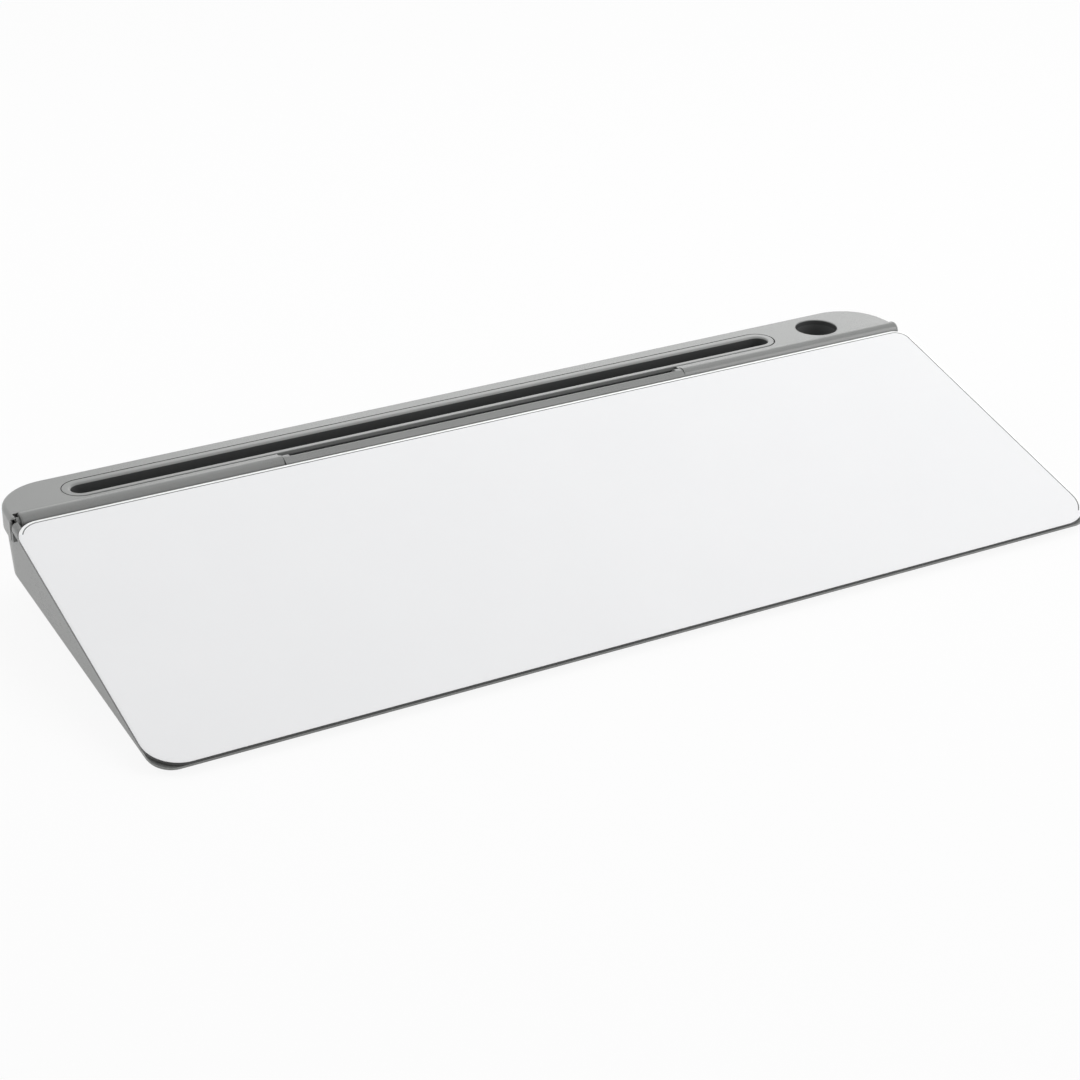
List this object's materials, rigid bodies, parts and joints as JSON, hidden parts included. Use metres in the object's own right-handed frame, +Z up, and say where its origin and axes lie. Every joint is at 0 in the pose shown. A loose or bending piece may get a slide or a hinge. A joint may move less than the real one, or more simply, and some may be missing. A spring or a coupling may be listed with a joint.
{
  "type": "desk whiteboard easel",
  "caption": "Low wedge-shaped desk whiteboard with a magnetic glass writing lid over a storage tub, and a rear bar with a device slot and a pen hole.",
  "frame": {"origin": "on the desk, at the middle of the footprint", "axes": "+X to the user's right along the board, +Y to the rear, +Z up"},
  "size_m": [0.46, 0.1884, 0.0472],
  "materials": {
    "grey_plastic": "satin",
    "inner_plastic": "matte",
    "white_glass": "polished, back-painted white",
    "steel_sheet": "plain",
    "pin_steel": "ground",
    "zinc_screw": "bright zinc",
    "black_rubber": "matte",
    "bush_plastic": "smooth",
    "bonding_tape": "foam"
  },
  "bodies": {
    "base": {"base_tub": "grey_plastic", "bar_housing": "grey_plastic", "slot_liner": "grey_plastic", "slot_grip_pad": "black_rubber", "pen_cup": "inner_plastic", "pen_cup_pad": "black_rubber", "hinge_pin_outer": "pin_steel", "hinge_pins_inner": "pin_steel", "housing_screws": "zinc_screw", "bumper_left": "black_rubber", "bumper_right": "black_rubber", "foot_front_left": "black_rubber", "foot_front_right": "black_rubber", "foot_rear_left": "black_rubber", "foot_rear_right": "black_rubber"},
    "lid": {"writing_panel": "white_glass", "steel_sheet": "steel_sheet", "panel_tapes": "bonding_tape", "lid_frame": "grey_plastic", "lip_bushes": "bush_plastic", "knuckle_bush": "bush_plastic"}
  },
  "joints": [
    {"name": "lid_hinge", "type": "hinge", "parent": "base", "child": "lid", "pos_m": [0, 0.06311, 0.0432], "axis": [-1, 0, 0], "range_deg": [0, 108]}
  ]
}
